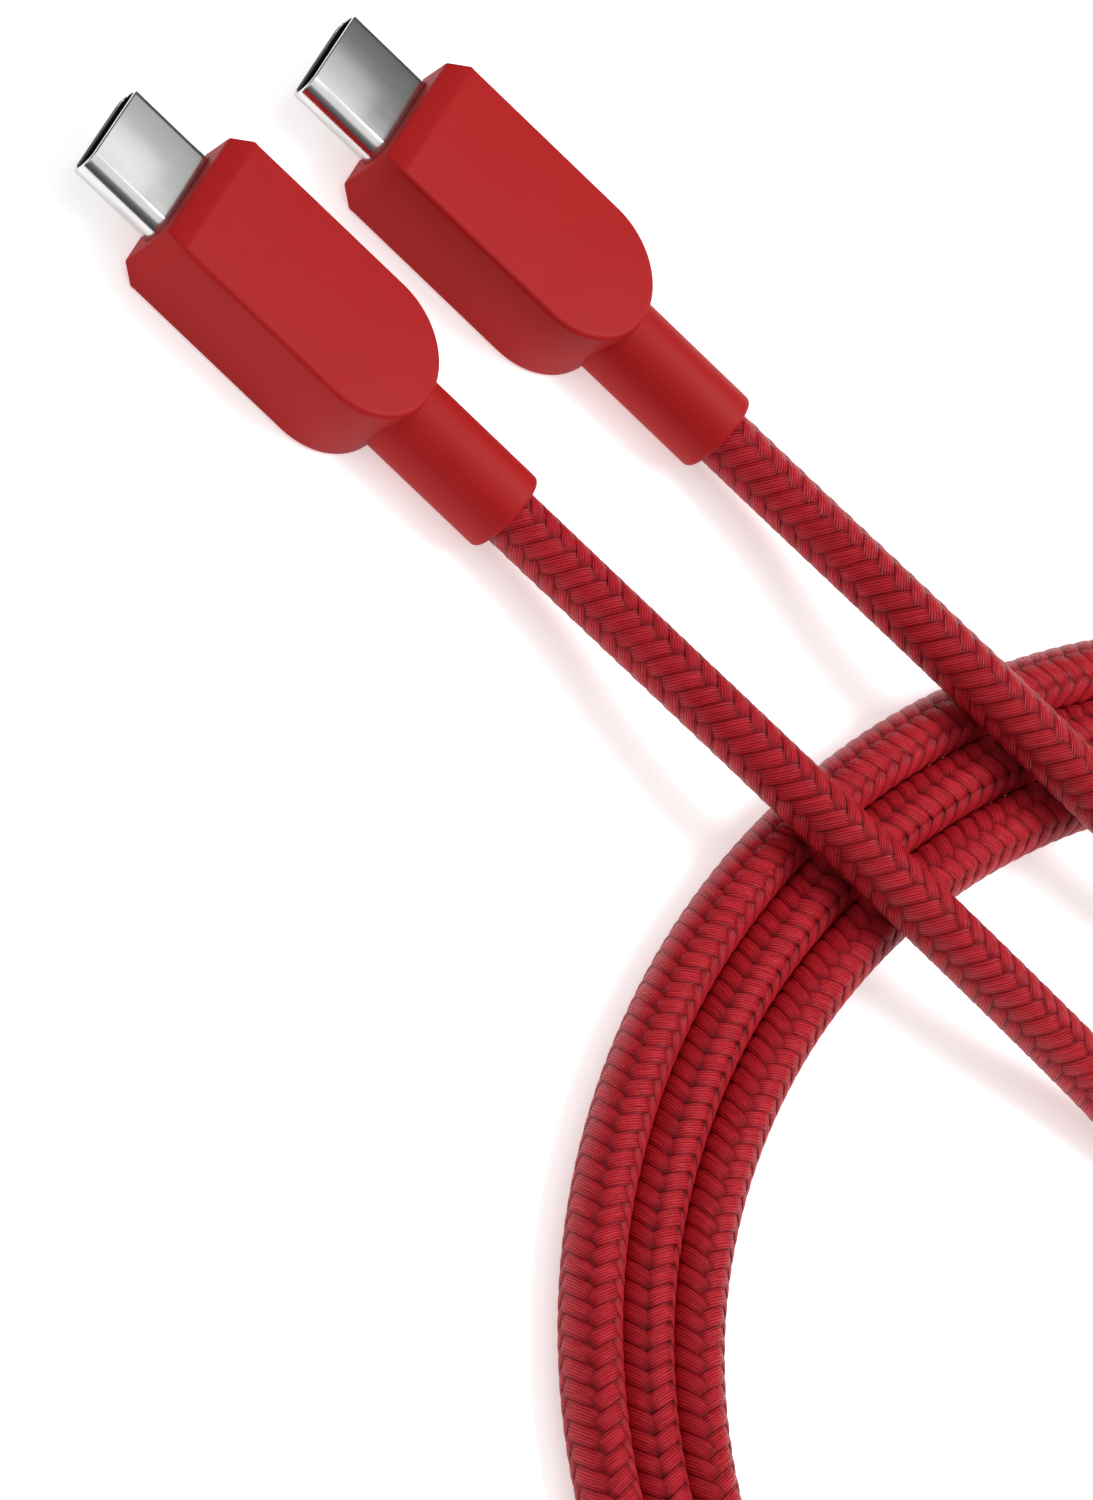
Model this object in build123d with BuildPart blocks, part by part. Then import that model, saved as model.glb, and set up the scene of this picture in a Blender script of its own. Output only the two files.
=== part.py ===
"""A charging cable with the same flat-sided plug at both ends, its cord wound in a loose oval coil.

Millimetres. The plugs lie flat on z = 0 with their tips towards -Y. The origin is the middle of
the ground under the two plugs. Each plug is modelled once, in its own frame: the tip at y = 0,
the cord's axis along +Y, and the middle of its height at z = 0.
"""

from build123d import *
from math import cos, pi, radians, sin, tan
import os

# Cord
cord_d = 4.25
jacket_d = 3.3  # the cord with its textile braid stripped off
core_clearance = 0.05  # all round, where the cord passes through a bore
crossing_gap = 0.525  # between the cord and the turns that it passes over

# Plug shell: the metal tube that enters the socket
shell_w = 8.25
shell_h = 2.40
shell_wall = 0.30
shell_exposed = 6.65
shell_buried = 2.20
rim_fillet = 0.13

# Housing: the moulded cover that the fingers hold
housing_cheek = 1.575  # beside the shell
housing_h = 6.4
housing_length = 20.85
housing_edge = 0.42
nose_length = 1.55
nose_inset = 0.75
housing_side_wall = 0.70
housing_top_wall = 0.55
housing_front_wall = 1.15

# Strain relief
relief_step = 0.15  # from the housing's top face down to the sleeve
relief_clearance = 0.03
relief_exposed = 9.5
relief_rim = 0.45
flange_w = 7.2
flange_length = 1.15

# Mouth of the plug: the insulator that lines the shell
mouth_inset = 0.12
insulator_stop = 0.85  # from its rear end to the housing
mouth_side_wall = 0.495
mouth_h = 0.95
fit = 0.03  # clearance of a pressed-in piece, each side

# Contacts: two rows on one pitch
contact_count = 12
contact_pitch = 0.50
contact_w = 0.25
contact_t = 0.14
slot_w = 0.34
contact_tip_y = 2.05
contact_tail = 1.45  # how far a contact lies on the card
contact_dip = 0.40
contact_height = 0.66

# Latch plate, between the two rows
latch_t = 0.20
latch_arm_t = 0.18
latch_arm_h = 0.56
latch_hook = 0.20
latch_tip_y = 1.30
latch_root = 0.80  # how far the arms run beside the wafers

# Ground springs near the mouth
spring_t = 0.10
spring_y = 0.25
spring_length = 1.05
pad_inset_y = 0.06
pad_reach = 0.15
side_pad_w = 1.50
side_pad_x = 2.05
middle_pad_w = 0.60

# Wafers that hold the contact rows
wafer_length = 2.95

# Card and what it carries
card_w = 7.4
card_t = 0.70
card_gap = 0.08
card_length = 9.65
chip_size = 3.2
chip_t = 0.75
chip_back = 4.74  # from the card's front edge to the chip's middle
passive_size = (1.0, 0.5, 0.45)
passive_rows = (2.34, 7.14)
passive_x = 2.6

# Shield can, in two halves
can_room_x = 0.025  # beside the shell
can_room_z = 0.47
can_t = 0.20
can_room_y = 1.29  # behind the card
can_split = 0.02

# Wires and crimp
wire_d = 0.55
wire_pitch = 0.70
wires_per_side = 4
wire_length = 2.8
core_inside_can = 0.40
braid_t = 0.20
braid_length = 3.2
collar_t = 0.34
collar_length = 3.8
collar_slit = 0.30

# Inner mould, which fills the housing around the can
mould_gap = 0.20
mould_nose = 0.40
mould_rear_wall = 0.37

# Where the plugs lie
plug_step_x = 18.5
plug_step_y = 9.5

# Coil: turns on an oval that lies on the ground
coil_middle = Vector(14.85, 89.45)
coil_tilt = -19.1  # degrees from +X to the oval's long axis
coil_near = 37.35  # half the short axis where the innermost turn starts
coil_stretch = 1.392  # long axis over short axis, at the start of the innermost turn
coil_start = 160.0  # degrees round the oval
coil_end = 80.0
whole_turns = 3  # less the arc between the two ends
points_per_turn = 24

# Places and sizes that follow from those above
housing_w = shell_w + 2 * housing_cheek
relief_d = housing_h - 2 * relief_step
relief_bore = cord_d + 2 * core_clearance
neck_d = (relief_d + relief_bore) / 2  # where it passes through the housing's tail
housing_end_y = shell_exposed + housing_length
plug_length = housing_end_y + relief_exposed
tail_middle_y = housing_end_y - housing_w / 2
axis_z = housing_h / 2
plugs_length = plug_length + plug_step_y
shell_end_y = shell_exposed + shell_buried
cavity_y = shell_exposed + housing_front_wall
mould_front_y = cavity_y + mould_gap
can_front_y = mould_front_y + mould_nose
insulator_length = shell_exposed - insulator_stop - mouth_inset
insulator_w = shell_w - 2 * shell_wall - 2 * fit
mouth_w = insulator_w - 2 * mouth_side_wall
insulator_h = shell_h - 2 * shell_wall - 2 * fit
insulator_end_y = mouth_inset + insulator_length
wafer_y = insulator_end_y + fit
card_y = wafer_y + wafer_length + card_gap
can_end_y = card_y + card_length + can_room_y
can_length = can_end_y - can_front_y
can_w = shell_w + 2 * (can_room_x + fit + can_t)
can_h = shell_h + 2 * (can_room_z + fit + can_t)
core_start_y = can_end_y - core_inside_can
collar_end_y = can_end_y + fit + collar_length
mould_end_y = collar_end_y + mould_rear_wall
cavity_w = housing_w - 2 * housing_side_wall
cavity_h = housing_h - 2 * housing_top_wall
flange_y = mould_end_y + core_clearance
flange_end_y = flange_y + flange_length
braid_id = jacket_d + 2 * fit
braid_od = braid_id + 2 * braid_t
collar_id = braid_od + 2 * fit
collar_od = collar_id + 2 * collar_t
jacket_bore = jacket_d + 2 * core_clearance

PLUGS = {
    "plug_a": (plug_step_x / 2, -plugs_length / 2),
    "plug_b": (-plug_step_x / 2, -plugs_length / 2 + plug_step_y),
}


def across(y):
    """The plane across a plug at a distance behind its tip: x to the right, z up."""
    return Plane(origin=(0, y, 0), x_dir=(1, 0, 0), z_dir=(0, -1, 0))


def back(length):
    """An extrusion amount that runs from such a plane away from the tip."""
    return -length


def save(part, name):
    part.label = name
    export_step(part, f"parts/{name}.step")


# The pieces of one plug


def shell():
    with BuildPart() as shell:
        with BuildSketch(across(0)):
            SlotOverall(shell_w, shell_h)
        extrude(amount=back(shell_end_y))
        with BuildSketch(across(0)):
            SlotOverall(shell_w - 2 * shell_wall, shell_h - 2 * shell_wall)
        extrude(amount=back(shell_end_y), mode=Mode.SUBTRACT)
        rim = shell.faces().sort_by(Axis.Y)[0].edges()
        fillet(rim, rim_fillet)
    return shell.part


def front_insulator():
    with BuildPart() as insulator:
        with BuildSketch(across(mouth_inset)):
            SlotOverall(insulator_w, insulator_h)
        extrude(amount=back(insulator_length))
        with BuildSketch(across(mouth_inset)):
            Rectangle(mouth_w, mouth_h)
            Rectangle(mouth_w + 2 * (latch_arm_t + 3 * fit), latch_arm_h + 4 * fit)
        extrude(amount=back(insulator_length), mode=Mode.SUBTRACT)
        for side in (1, -1):
            with BuildSketch(across(contact_tip_y - slot_w)):
                with Locations((0, side * slot_middle_z())):
                    with GridLocations(contact_pitch, 0, contact_count, 1):
                        Rectangle(slot_w, slot_depth())
            extrude(amount=back(insulator_end_y), mode=Mode.SUBTRACT)
            with BuildSketch(across(spring_y - fit)):
                with Locations((0, side * (insulator_h - spring_t) / 2)):
                    Rectangle(spring_width() + 2 * fit, spring_t + 2 * fit)
            extrude(amount=back(spring_length + 2 * fit), mode=Mode.SUBTRACT)
            with BuildSketch(across(spring_y + pad_inset_y - fit)):
                for x, width in pads():
                    with Locations((x, side * (insulator_h + mouth_h) / 4)):
                        Rectangle(width + 2 * fit, insulator_h / 2)
            extrude(amount=back(spring_length - 2 * pad_inset_y + 2 * fit), mode=Mode.SUBTRACT)
    return insulator.part


def slot_depth():
    """The slots leave the contacts room to be pushed outwards."""
    return contact_height + contact_t / 2 + 2 * fit - mouth_h / 2 + contact_t


def slot_middle_z():
    return mouth_h / 2 + slot_depth() / 2 - contact_t


def spring_width():
    return 2 * side_pad_x + side_pad_w


def pads():
    return ((-side_pad_x, side_pad_w), (0, middle_pad_w), (side_pad_x, side_pad_w))


def contacts(side):
    """One row of spring contacts: a dipped tip, a beam and a tail that lies on the card."""
    tail_z = card_t / 2 + contact_t / 2 + fit / 2
    line = (
        (contact_tip_y, contact_dip + contact_t),
        (contact_tip_y + 0.45, contact_dip),
        (contact_tip_y + 1.15, contact_height),
        (insulator_end_y - 1.2, contact_height),
        (insulator_end_y - 0.5, tail_z),
        (card_y + contact_tail, tail_z),
    )
    top = [(y, side * (z + contact_t / 2)) for y, z in line]
    bottom = [(y, side * (z - contact_t / 2)) for y, z in line]
    with BuildPart() as row:
        with BuildSketch(Plane.YZ):
            with BuildLine():
                Polyline(*top, *reversed(bottom), close=True)
            make_face()
        beam = extrude(amount=contact_w / 2, both=True, mode=Mode.PRIVATE)
        with GridLocations(contact_pitch, 1, contact_count, 1):
            add(beam)
    return row.part


def wafer(side):
    """Half of the block that the contacts are moulded into."""
    tail_z = card_t / 2 + contact_t / 2 + fit / 2
    inner_z = latch_t / 2 + fit
    with BuildPart() as wafer:
        with BuildSketch(across(wafer_y)):
            SlotOverall(insulator_w, insulator_h)
            with Locations((0, side * (inner_z + insulator_h / 2))):
                Rectangle(mouth_w, insulator_h, mode=Mode.INTERSECT)
        extrude(amount=back(wafer_length))
        with BuildSketch(across(wafer_y)):
            with Locations((0, side * tail_z)):
                with GridLocations(contact_pitch, 0, contact_count, 1):
                    Rectangle(contact_w + fit, contact_t + fit)
        extrude(amount=back(wafer_length), mode=Mode.SUBTRACT)
    return wafer.part


def latch_plate():
    """A stamped plate whose two arms end in the hooks that hold the plug in its socket."""
    arm_x = mouth_w / 2 + fit
    root_y = wafer_y + fit
    with BuildPart() as latch:
        with BuildSketch(across(root_y)):
            Rectangle(2 * arm_x + latch_arm_t, latch_t)
        extrude(amount=back(wafer_length - 2 * fit))
        for side in (1, -1):
            with BuildSketch(Plane.XY):
                with BuildLine():
                    Polyline(
                        (side * arm_x, latch_tip_y),
                        (side * (arm_x - latch_hook), latch_tip_y + 0.5),
                        (side * arm_x, latch_tip_y + 1.1),
                        (side * arm_x, root_y + latch_root),
                        (side * (arm_x + latch_arm_t), root_y + latch_root),
                        (side * (arm_x + latch_arm_t), latch_tip_y),
                        close=True,
                    )
                make_face()
            extrude(amount=latch_arm_h / 2, both=True)
    return latch.part


def ground_spring(side):
    """A strip under the shell whose pads show through the mouth's windows."""
    strip_z = insulator_h / 2 - spring_t / 2
    pad_low = mouth_h / 2 - pad_reach
    with BuildPart() as spring:
        with BuildSketch(across(spring_y)):
            with Locations((0, side * strip_z)):
                Rectangle(spring_width(), spring_t)
        extrude(amount=back(spring_length))
        with BuildSketch(across(spring_y + pad_inset_y)):
            for x, width in pads():
                with Locations((x, side * (pad_low + strip_z) / 2)):
                    Rectangle(width, strip_z - pad_low)
        extrude(amount=back(spring_length - 2 * pad_inset_y))
    return spring.part


def card():
    with BuildPart() as card:
        with BuildSketch(across(card_y)):
            Rectangle(card_w, card_t)
        extrude(amount=back(card_length))
        fillet(card.edges().filter_by(Axis.Z), 0.5)
    return card.part


def controller_chip():
    chip_z = (card_t + chip_t) / 2
    with BuildPart() as chip:
        with BuildSketch(Plane.XY.offset(card_t / 2)):
            with Locations((0, card_y + chip_back)):
                Rectangle(chip_size, chip_size)
        extrude(amount=chip_t)
        chamfer(chip.faces().sort_by(Axis.Z)[-1].edges(), 0.08)
    return chip.part


def passives():
    """The small resistors and capacitors on both sides of the card."""
    width, length, height = passive_size
    with BuildPart() as passives:
        for side in (1, -1):
            with BuildSketch(Plane.XY.offset(side * card_t / 2)):
                with Locations((0, card_y + sum(passive_rows) / 2)):
                    with GridLocations(2 * passive_x, passive_rows[1] - passive_rows[0], 2, 2):
                        Rectangle(width, length)
            extrude(amount=side * height)
    return passives.part


def can_half(side):
    """Half of the stamped can round the card, with the shell and the cord in its end walls."""
    end_y = can_end_y - can_t
    with BuildPart() as can:
        with BuildSketch(across(can_front_y)):
            Rectangle(can_w, can_h)
        extrude(amount=back(can_length))
        with BuildSketch(across(can_front_y + can_t)):
            Rectangle(can_w - 2 * can_t, can_h - 2 * can_t)
        extrude(amount=back(can_length - 2 * can_t), mode=Mode.SUBTRACT)
        with BuildSketch(across(can_front_y)):
            SlotOverall(shell_w + 2 * fit, shell_h + 2 * fit)
        extrude(amount=back(can_t), mode=Mode.SUBTRACT)
        with BuildSketch(across(end_y)):
            Circle(jacket_bore / 2)
        extrude(amount=back(can_t), mode=Mode.SUBTRACT)
        split(bisect_by=Plane.XY.offset(side * can_split), keep=Keep.TOP if side > 0 else Keep.BOTTOM)
    return can.part


def wire_ends():
    wire_z = (card_t + wire_d) / 2
    with BuildPart() as wires:
        with BuildSketch(across(core_start_y - wire_length)):
            with GridLocations(wire_pitch, 2 * wire_z, wires_per_side, 2):
                Circle(wire_d / 2)
        extrude(amount=back(wire_length))
    return wires.part


def cable_end():
    """The cord's last stretch: bare jacket in the can, then in its textile braid."""
    with BuildPart() as end:
        with BuildSketch(across(core_start_y)):
            Circle(jacket_d / 2)
        extrude(amount=back(flange_end_y - core_start_y))
        with BuildSketch(across(flange_end_y)):
            Circle(cord_d / 2)
        extrude(amount=back(plug_length - flange_end_y))
    return end.part


def shield_braid():
    with BuildPart() as braid:
        with BuildSketch(across(can_end_y + fit)):
            Circle(braid_od / 2)
            Circle(braid_id / 2, mode=Mode.SUBTRACT)
        extrude(amount=back(braid_length))
    return braid.part


def crimp_collar():
    with BuildPart() as collar:
        with BuildSketch(across(can_end_y + fit)):
            Circle(collar_od / 2)
            Circle(collar_id / 2, mode=Mode.SUBTRACT)
            with Locations((0, -collar_od / 2)):
                Rectangle(collar_slit, collar_od, mode=Mode.SUBTRACT)
        extrude(amount=back(collar_length))
    return collar.part


def tailed_block(width, height, front_y, end_y):
    """A block with a rounded tail, cut off square at end_y."""
    with BuildPart(mode=Mode.PRIVATE) as block:
        with BuildSketch(Plane.XY):
            with Locations((0, (front_y + tail_middle_y) / 2)):
                Rectangle(width, tail_middle_y - front_y)
            with Locations((0, tail_middle_y)):
                Circle(width / 2)
            with Locations((0, (front_y + end_y) / 2)):
                Rectangle(width, end_y - front_y, mode=Mode.INTERSECT)
        extrude(amount=height / 2, both=True)
    return block.part


def inner_mould():
    """The hard plastic moulded round the can and the crimp."""
    mould = tailed_block(cavity_w - 2 * fit, cavity_h - 2 * fit, mould_front_y, mould_end_y)
    with BuildPart() as inner_mould:
        add(mould)
        with BuildSketch(across(mould_front_y)):
            SlotOverall(shell_w + 2 * fit, shell_h + 2 * fit)
        extrude(amount=back(can_front_y - mould_front_y), mode=Mode.SUBTRACT)
        with BuildSketch(across(can_front_y - fit)):
            Rectangle(can_w + 2 * fit, can_h + 2 * fit)
        extrude(amount=back(can_length + 2 * fit), mode=Mode.SUBTRACT)
        with BuildSketch(across(can_end_y)):
            Circle(collar_od / 2 + fit)
        extrude(amount=back(collar_end_y + fit - can_end_y), mode=Mode.SUBTRACT)
        with BuildSketch(across(collar_end_y)):
            Circle(jacket_bore / 2)
        extrude(amount=back(mould_end_y - collar_end_y), mode=Mode.SUBTRACT)
    return inner_mould.part


def housing():
    """The cover: a bevelled nose, flat sides and a round tail, hollow for the mould."""
    body_y = shell_exposed + nose_length
    body = tailed_block(housing_w, housing_h, body_y, housing_end_y)
    cavity = tailed_block(cavity_w, cavity_h, cavity_y, flange_end_y + core_clearance)
    with BuildPart() as housing:
        with BuildSketch(across(shell_exposed)):
            Rectangle(housing_w - 2 * nose_inset, housing_h - 2 * nose_inset)
        with BuildSketch(across(body_y)):
            Rectangle(housing_w, housing_h)
        loft()
        add(body)
        fillet(housing.edges(), housing_edge)
        add(cavity, mode=Mode.SUBTRACT)
        with BuildSketch(across(shell_exposed)):
            SlotOverall(shell_w + 2 * fit, shell_h + 2 * fit)
        extrude(amount=back(cavity_y - shell_exposed), mode=Mode.SUBTRACT)
        with BuildSketch(across(flange_y)):
            Circle(neck_d / 2 + relief_clearance)
        extrude(amount=back(housing_end_y - flange_y), mode=Mode.SUBTRACT)
    return housing.part


def strain_relief():
    """A rubber sleeve on the cord, held by a neck and a flange inside the housing's tail."""
    room = housing_w + 2 * relief_clearance
    tail = tailed_block(room, room, shell_exposed, plug_length)
    with BuildPart() as relief:
        with BuildSketch(across(tail_middle_y)):
            Circle(relief_d / 2)
        extrude(amount=back(plug_length - tail_middle_y))
        fillet(relief.faces().sort_by(Axis.Y)[-1].edges(), relief_rim)
        add(tail, mode=Mode.SUBTRACT)
        with BuildSketch(across(flange_y)):
            Circle(neck_d / 2)
        extrude(amount=back(housing_end_y + relief_rim - flange_y))
        with BuildSketch(across(flange_y)):
            Rectangle(flange_w, cavity_h - 2 * core_clearance)
        extrude(amount=back(flange_length - core_clearance))
        with BuildSketch(across(flange_y)):
            Circle(jacket_bore / 2)
        extrude(amount=back(flange_end_y - flange_y), mode=Mode.SUBTRACT)
        with BuildSketch(across(flange_end_y)):
            Circle(relief_bore / 2)
        extrude(amount=back(plug_length - flange_end_y), mode=Mode.SUBTRACT)
    return relief.part


PIECES = {
    "shell": shell(),
    "front_insulator": front_insulator(),
    "contacts_upper": contacts(1),
    "contacts_lower": contacts(-1),
    "wafer_upper": wafer(1),
    "wafer_lower": wafer(-1),
    "latch_plate": latch_plate(),
    "ground_spring_upper": ground_spring(1),
    "ground_spring_lower": ground_spring(-1),
    "card": card(),
    "controller_chip": controller_chip(),
    "passives": passives(),
    "can_upper": can_half(1),
    "can_lower": can_half(-1),
    "wire_ends": wire_ends(),
    "cable_end": cable_end(),
    "shield_braid": shield_braid(),
    "crimp_collar": crimp_collar(),
    "inner_mould": inner_mould(),
    "housing": housing(),
    "strain_relief": strain_relief(),
}

os.makedirs("parts", exist_ok=True)
for plug, (x, y) in PLUGS.items():
    for name, piece in PIECES.items():
        save(piece.moved(Location((x, y, axis_z))), f"{plug}_{name}")


# The coil


def coil_point(turns, offset=0.0):
    """A point on the coil's middle line, so many turns after its inner end, or beside it."""
    angle = radians(coil_start + 360 * turns)
    short = coil_near + cord_d * turns
    long = coil_near * coil_stretch + cord_d * turns
    slope = Vector(-long * sin(angle), short * cos(angle)).normalized()
    outward = Vector(slope.Y, -slope.X)
    point = Vector(long * cos(angle), short * sin(angle)) + outward * offset
    return coil_middle + point.rotate(Axis.Z, coil_tilt)


def square_across(end, turn, offset):
    """The place about one turn from an end of the coil that lies straight across the cord."""
    slope = (coil_point(end + 0.0001) - coil_point(end)).normalized()
    place = end + turn
    for _ in range(4):
        miss = (coil_point(place, offset) - coil_point(end)).dot(slope)
        speed = (coil_point(place + 0.001, offset) - coil_point(place, offset)).dot(slope) / 0.001
        place -= miss / speed
    return place


def coil_edge(first, last, offset):
    """About one turn of the coil's inner or outer edge."""
    step = (last - first) / points_per_turn
    return [coil_point(first + step * i, offset) for i in range(points_per_turn + 1)]


coil_turns = whole_turns - (coil_start - coil_end) / 360
outside, inside = cord_d / 2, -cord_d / 2
outer_edge = coil_edge(square_across(coil_turns, -1, outside), coil_turns, outside)
inner_edge = coil_edge(0, square_across(0, 1, inside), inside)

with BuildPart() as cord_coil:
    for edge, mode in ((outer_edge, Mode.ADD), (inner_edge, Mode.SUBTRACT)):
        with BuildSketch(mode=Mode.PRIVATE) as turn:
            with BuildLine():
                Spline(*edge)
                Line(edge[-1], edge[0])
            make_face()
        extrude(turn.sketch, amount=cord_d, mode=mode)
save(cord_coil.part, "cord_coil")


# The two leads, each from its plug over the coil's near side to one end of the coil


def lead_start(plug):
    x, y = PLUGS[plug]
    return (x, y + plug_length, axis_z)


ground = cord_d / 2
over = 1.5 * cord_d + crossing_gap
inner_end = coil_point(0)
outer_end = coil_point(coil_turns)

LEAD_A = [
    lead_start("plug_a"),
    (9.25, 20, axis_z),
    (12.6, 35.5, over),
    (12.6, 57.5, over),
    (8.6, 75, ground),
    (11.2, 88.5, ground),
    (15.2, 101.2, ground),
    (12.4, 113.8, ground),
    (3.4, 122.4, ground),
    (-8.6, 124.4, ground),
    (-15.6, 123.5, ground),
    (-20.4, 121.75, ground),
    (-24.9, 119.47, ground),
    (inner_end.X, inner_end.Y, ground),
]
LEAD_B = [
    lead_start("plug_b"),
    (-9.25, 29.5, axis_z),
    (-5.9, 43.5, over),
    (-5.9, 64.5, over),
    (-9.2, 81, ground),
    (-10.3, 95, ground),
    (-11.2, 108, 4.6),
    (-10.6, 121.5, over),
    (-5.2, 133.4, over),
    (5.6, 141.6, over),
    (18.8, 142.2, 5.8),
    (31.2, 136.6, ground),
    (outer_end.X, outer_end.Y, ground),
]


def lead_radii(points):
    """The widest arc that each corner's two runs allow."""
    radii = []
    for before, corner, after in zip(points, points[1:], points[2:]):
        one, two = Vector(corner) - Vector(before), Vector(after) - Vector(corner)
        half_turn = radians(one.get_angle(two)) / 2
        radii.append(0.45 * min(one.length, two.length) / tan(half_turn))
    return radii


for name, points in (("cord_lead_a", LEAD_A), ("cord_lead_b", LEAD_B)):
    radii = lead_radii(points)
    with BuildPart() as lead:
        with BuildLine():
            lead_route = FilletPolyline(*points, radius=radii)
        with BuildSketch(Plane(lead_route @ 0, z_dir=lead_route % 0)):
            Circle(cord_d / 2)
        sweep()
    save(lead.part, name)
    length = sum(edge.length for edge in lead_route.edges())
    section = pi * cord_d**2 / 4
    print(name, "length", round(length, 1), "radii", [round(radius, 1) for radius in radii])
    print("volume over section times length", round(lead.part.volume / (section * length), 4))
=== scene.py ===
"""A braided charging cable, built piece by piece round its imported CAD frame.

Lengths are in metres. Every piece is modelled where it lies, so each object stays at the origin.
"""

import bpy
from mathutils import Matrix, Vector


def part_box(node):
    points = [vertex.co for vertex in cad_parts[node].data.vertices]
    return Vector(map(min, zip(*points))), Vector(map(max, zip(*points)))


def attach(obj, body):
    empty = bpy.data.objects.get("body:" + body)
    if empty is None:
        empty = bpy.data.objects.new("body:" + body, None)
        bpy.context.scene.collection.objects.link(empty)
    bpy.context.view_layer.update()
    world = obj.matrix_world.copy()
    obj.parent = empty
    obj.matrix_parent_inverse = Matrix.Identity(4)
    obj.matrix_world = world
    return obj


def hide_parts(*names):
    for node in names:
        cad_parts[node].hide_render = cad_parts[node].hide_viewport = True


bl_info = {
    "name": "Braided Charging Cable",
    "version": (1, 0, 0),
    "blender": (4, 5, 0),
    "location": "3D View > Sidebar > Cable",
    "description": "Models a braided charging cable with two flat-sided plugs and a coiled cord",
    "category": "Add Mesh",
}

from math import cos, pi, radians, sin

import bpy
import numpy as np
from mathutils import Matrix, Vector

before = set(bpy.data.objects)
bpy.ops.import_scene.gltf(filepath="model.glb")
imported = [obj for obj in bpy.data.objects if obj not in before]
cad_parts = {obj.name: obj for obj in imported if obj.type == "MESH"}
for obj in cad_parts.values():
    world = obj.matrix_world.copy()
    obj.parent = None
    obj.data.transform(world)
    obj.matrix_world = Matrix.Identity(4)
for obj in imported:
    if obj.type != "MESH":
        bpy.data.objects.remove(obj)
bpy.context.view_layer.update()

MM = 0.001
PLUGS = ("plug_a", "plug_b")
MOUTH_DEPTH = 2 * MM  # of the cover's opening, before and behind its front face
SLEEVE_IN_TAIL = 1.8 * MM  # how far the sleeve starts inside the cover
SLEEVE_BORE = 8 * MM  # depth of the hole round the cord


def length_property(name, description, default, **settings):
    return bpy.props.FloatProperty(
        name=name,
        description=description,
        default=default,
        min=0,
        subtype="DISTANCE",
        unit="LENGTH",
        precision=5,
        **settings,
    )


def colour_property(name, description, default):
    return bpy.props.FloatVectorProperty(
        name=name, description=description, default=default, size=3, min=0, max=1, subtype="COLOR"
    )


class CablePlugSettings(bpy.types.PropertyGroup):
    """Sizes of the pieces of a plug."""

    nose_length: length_property("Nose length", "How far the nose's bevel runs back", 1.55 * MM)
    nose_inset: length_property("Nose inset", "How far the nose's bevel runs in", 0.75 * MM)
    cover_length: length_property("Cover length", "Nose to the tail's furthest point", 20.85 * MM)
    cover_edge: length_property("Cover edge", "Radius of the cover's edges", 0.42 * MM)
    nose_edge: length_property("Nose edge", "Radius of the nose's edges", 0.16 * MM)
    shell_wall: length_property("Shell wall", "Thickness of the metal shell", 0.30 * MM)
    shell_rim: length_property("Shell rim", "Radius of the shell's rolled rim", 0.14 * MM)
    sleeve_rim: length_property("Sleeve rim", "Radius of the strain relief's rim", 0.42 * MM)
    clearance: length_property("Clearance", "Gap round a piece that passes through", 0.05 * MM)


class CableCordSettings(bpy.types.PropertyGroup):
    """The cord and its braid."""

    diameter: length_property("Diameter", "Over the braid", 4.25 * MM)
    length: length_property("Length", "Between the strain reliefs", 1.2)
    pitch: length_property("Pitch", "Along the cord for one turn of a yarn", 8.6 * MM)
    yarn_width: length_property("Yarn width", "Across one flat bundle of the braid", 1.36 * MM)
    yarn_height: length_property("Yarn height", "Thickness of one bundle", 0.22 * MM)
    crimp: length_property("Crimp", "How far a bundle rises and dives", 0.085 * MM)
    hidden_start: length_property("Hidden start", "Of the cord inside each sleeve", 3.0 * MM)
    column: bpy.props.FloatProperty(
        name="Column", description="Degrees round the cord to the middle of a raised column", default=42.5
    )
    drift: bpy.props.FloatProperty(
        name="Drift", description="Degrees that the columns turn over the whole cord", default=35
    )
    yarns_each_way: bpy.props.IntProperty(
        name="Yarns each way", description="Bundles that wind one way", default=6, min=2
    )


class CableFinishSettings(bpy.types.PropertyGroup):
    """Colours."""

    cover: colour_property("Cover", "Soft-touch cover and sleeve", (0.39, 0.009, 0.010))
    yarn: colour_property("Yarn", "Nylon braid", (0.40, 0.006, 0.014))
    floor: colour_property("Floor", "The ground under the cable", (0.9, 0.9, 0.9))


class CableStageSettings(bpy.types.PropertyGroup):
    """Camera and light."""

    distance: length_property("Distance", "From the camera to the plugs", 1.1)
    view_height: length_property("View height", "Height of the camera's view there", 97.4 * MM)
    sky: bpy.props.FloatProperty(
        name="Sky", description="Strength of the soft light all round", default=2.1, min=0
    )
    glint_power: bpy.props.FloatProperty(
        name="Glint power",
        description="Of the small light over each shell",
        default=0.0008,
        min=0,
        unit="POWER",
    )
    key_power: bpy.props.FloatProperty(
        name="Key power", description="Of the large soft light", default=6.0, min=0, unit="POWER"
    )


# Modelling


def deselect():
    if bpy.context.object and bpy.context.object.mode != "OBJECT":
        bpy.ops.object.mode_set(mode="OBJECT")
    bpy.ops.object.select_all(action="DESELECT")


def started(name):
    """The primitive that was just added, named and with its place in its mesh."""
    piece = bpy.context.object
    piece.name = piece.data.name = name
    bpy.ops.object.transform_apply(location=True, rotation=True, scale=True)
    return piece


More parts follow.
